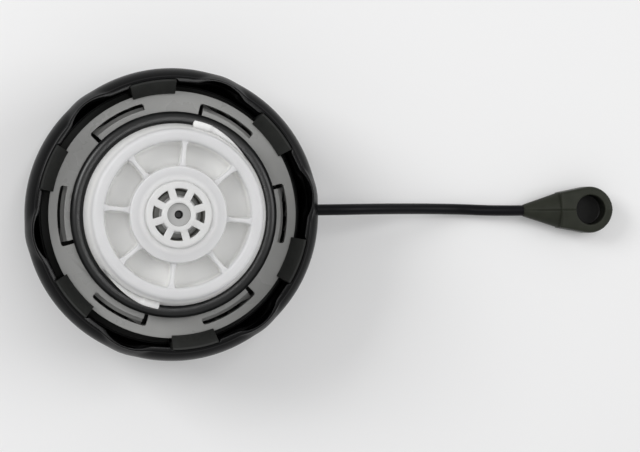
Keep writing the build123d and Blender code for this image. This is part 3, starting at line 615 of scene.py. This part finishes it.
# ---- vent valve: acetal housing, seat and plate, an acetal vacuum valve and two rubber seals ----
# The housing is pressed into the hub against its O-ring and held by a clip. The pressure plate
# carries a seal and the vacuum valve, whose stem ends in a push nut. The pilot is painted dark, as
# painted shade for the bore of the guide bush that it sits in. The seals are mid grey and not black,
# so that they show in the shade behind the ports.
def dressed(paint, slot, *names):
    """Gives CAD pieces that need no softer copy their material."""
    for name in names:
        mesh = nodes[name].data
        mesh.materials.clear()
        mesh.materials.append(paint)


inner_acetal = Paint("valve_acetal", Specular_IOR_Level=0.45)
inner_cloud = inner_acetal.moulded(3, (0.42, 0.52), 0.2, 0.012)
inner_paint = inner_acetal.drive(
    Base_Color=inner_acetal.mix(inner_cloud, rgb(196, 196, 191), rgb(208, 208, 203)))
dressed(inner_paint, "acetal_natural", "valve_housing", "spring_seat", "pressure_plate")

# Above these heights the pilot is painted dark: painted shade in the bore of the guide bush.
pilot_shade_heights = 45 * MM, 47 * MM
valve = Paint("pilot_acetal", Specular_IOR_Level=0.45)
valve_cloud = valve.moulded(2, (0.4, 0.5), 0.2, 0.012)
valve_disc = valve.mix(valve_cloud, rgb(180, 180, 177), rgb(194, 194, 191))
valve_paint = valve.drive(Base_Color=valve.mix(
    valve.height().between(*pilot_shade_heights), valve_disc, rgb(56, 56, 55)))
dressed(valve_paint, "valve_grey", "vacuum_valve")

seal = Paint("fluorocarbon_rubber", Specular_IOR_Level=0.4)
seal_cloud = seal.moulded(2, (0.5, 0.65), 0.2, 0.02, grain_detail=3)
seal_paint = seal.drive(Base_Color=seal.mix(seal_cloud, rgb(104, 102, 98), rgb(122, 120, 115)))
dressed(seal_paint, "valve_rubber", "housing_o_ring", "pressure_seal")


# ---- springs, clip ring and push nut: drawn stainless wire and stamped spring strip -------------
# The springs are coils of round wire, the clip snaps into a groove, and the nut grips the stem.
steel = Paint("spring_steel", Metallic=1.0)
draw_lines = 0.4 * MM
steel_stretch = steel.node("ShaderNodeMapping", {}, {"Vector": steel.place, "Scale": (1, 1, 6)})
steel_lines = steel.node("ShaderNodeTexNoise", {}, {
    "Vector": steel_stretch, "Scale": 1 / draw_lines, "Detail": 3})
steel_paint = steel.drive(
    Base_Color=steel.mix(steel_lines, rgb(176, 175, 172), rgb(198, 197, 193)),
    Roughness=steel_lines * 0.14 + 0.24,
    Normal=steel.bump(steel_lines, 0.004 * MM))
dressed(steel_paint, "spring_steel", "pressure_spring", "vacuum_spring", "housing_clip", "push_nut")


# ---- tether ring: black nylon, moulded, free to turn in the cover's groove ----------------------
# Its boss on one side takes the end of the strap.
nylon = Paint("strap_nylon", Specular_IOR_Level=0.12)
nylon_flow = nylon.noise(3 * MM, 3)
nylon_paint = nylon.drive(
    Base_Color=nylon.mix(nylon_flow, rgb(7, 7, 9), rgb(16, 16, 20)),
    Roughness=nylon_flow * 0.12 + 0.3,
    Normal=nylon.bump(nylon_flow, 0.03 * MM))
softened("tether_ring", 0.25, nylon_paint)


# ---- tether strap: one round strap of the same nylon, moulded, with a run that dips -------------
# It leaves the boss of the ring in the cover's groove and ends in the push-on end fitting.
strap_diameter = 3.3 * MM
strap_points = np.array([
    (42.5, 0.9, 18.2), (51.0, 0.9, 18.2), (64.0, 1.0, 12.7), (78.0, 0.9, 5.8), (91.0, 0.6, 2.0),
    (101.0, 0, 4.3), (110.0, 0, 4.3)]) * MM

strap_curve = bpy.data.curves.new("strap", "CURVE")
strap_curve.dimensions = "3D"
strap_curve.bevel_depth = strap_diameter / 2
strap_curve.bevel_resolution = 8
strap_curve.resolution_u = 24
strap_curve.use_fill_caps = True
spline = strap_curve.splines.new("NURBS")
spline.points.add(len(strap_points) - 1)
for point, place in zip(spline.points, strap_points):
    point.co = (*place, 1)
spline.order_u = 3
spline.use_endpoint_u = True
strap = bpy.data.objects.new("tether_strap_cord", strap_curve)
bpy.context.scene.collection.objects.link(strap)
strap_curve.materials.append(nylon_paint)
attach(strap, "tether")
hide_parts("tether_strap")


# ---- end fitting: olive-black elastomer, moulded over the strap's end ---------------------------
# A flattened cone rises to a step and a round head with a blind push-on socket. A fine groove,
# like a mould's parting line, runs along the middle of the top.
fitting_tip = 110.0
fitting_axis = 4.3
tip_half = 1.78
step_along = 11.4
step_half, step_top = 5.5, 7.6
head_along = 20.8
head_radius = 7.2
head_top = 8.6
head_round = 1.1
socket_radius = 4.6
socket_floor = 3.2
seam_depth, seam_half, seam_end = 0.3, 0.22, 0.15
roof_slope, roof_height = 0.1, 3.0
neck_end_share, neck_inside = 0.012, 1.04


def seam(points):
    """Lowers the top along the middle: a fine groove that ends at the socket, and two faces that
    slope to the sides like a roof. Both grow with the height over the strap's axis, so the
    underside stays flat."""
    x, y, z = points[..., 0], points[..., 1], points[..., 2]
    before = 1 / (1 + np.exp((x - (fitting_tip + head_along - socket_radius)) / seam_end))
    drop = seam_depth * np.exp(-(y / seam_half) ** 2) * before + roof_slope * np.abs(y)
    return np.stack([x, y, z - drop * ((z - fitting_axis) / roof_height).clip(0, 1)], -1)


def fitting_neck():
    """Sections across the strap's run, each an ellipse that widens and sinks to the table evenly
    from the narrow end, which is rounded off, to the step. The last ones stand inside the head."""
    share = np.concatenate([[0, neck_end_share / 3, neck_end_share],
                            np.linspace(0.03, neck_inside, 40)])[:, None]
    edge = np.sqrt(1 - (1 - share / neck_end_share).clip(0) ** 2).clip(0.05, 1)
    angle = np.linspace(0, 2 * np.pi, 160, endpoint=False)
    grown = share.clip(0, 1)
    half = (tip_half + (step_half - tip_half) * grown) * edge
    high = (tip_half + (step_top / 2 - tip_half) * grown) * edge
    middle = fitting_axis + (step_top / 2 - fitting_axis) * grown
    x = fitting_tip + step_along * share + 0 * angle
    return capped(seam(np.stack([x, half * np.cos(angle), middle + high * np.sin(angle)], -1)))


def fitting_head():
    """Rows from the socket's floor up its wall, over the top, down the side and under to the
    middle. The side follows a circle on the far side and, towards the strap, the circle's two
    tangents to the ends of the step and the step itself."""
    angle = around(480)
    turn = np.abs((angle + np.pi) % (2 * np.pi) - np.pi)
    reach = head_along - step_along
    corner = np.pi - np.arctan2(step_half, reach)
    tangent = corner - np.arccos(head_radius / np.hypot(reach, step_half))
    outline = np.where(turn < tangent, head_radius, np.where(
        turn < corner, head_radius / np.cos(turn - tangent), reach / np.abs(np.cos(turn))))
    wall = rounded([(0, socket_floor, 0), (socket_radius, socket_floor, 0.5),
                    (socket_radius, head_top, 0.45), (head_radius, head_top, 0)], 7)
    arc = np.linspace(0, np.pi / 2, 8)
    over = np.concatenate([-head_round * (1 - np.sin(arc)), -head_round * (1 - np.cos(arc))])
    level = np.concatenate([head_top - head_round * (1 - np.cos(arc)),
                            head_round * (1 - np.sin(arc))])
    inner = wall[wall[:, 0] < (socket_radius + head_radius) / 2]
    radius = np.concatenate([inner[:, :1] + 0 * outline, outline + over[:, None],
                             np.zeros((1, len(angle)))])
    height = np.concatenate([inner[:, 1], level, [0]])[:, None]
    x = fitting_tip + head_along + radius * np.cos(angle)
    return seam(np.stack(np.broadcast_arrays(x, radius * np.sin(angle), height), -1))


# The socket is painted nearly black inside its wall, up to its mouth: painted shade for its depth.
socket_wall = 4.5 * MM, 4.8 * MM
socket_mouth = 7.4 * MM, 8.4 * MM
olive = Paint("olive_elastomer", Specular_IOR_Level=0.15)
olive_cloud = olive.moulded(3, (0.34, 0.49), 0.25, 0.02)
olive_skin = olive.mix(olive_cloud, rgb(34, 36, 30), rgb(46, 48, 40))
olive_out = olive.from_axis((fitting_tip + head_along) * MM)
socket_painted_shade = (1 - olive_out.between(*socket_wall)) * (1 - olive.height().between(*socket_mouth))
olive_paint = olive.drive(Base_Color=olive.mix(socket_painted_shade, olive_skin, rgb(14, 14, 13)))
fitting = skin("fitting_moulding", [fitting_neck(), fitting_head()], olive_paint, "tether",
               "tether_fitting")
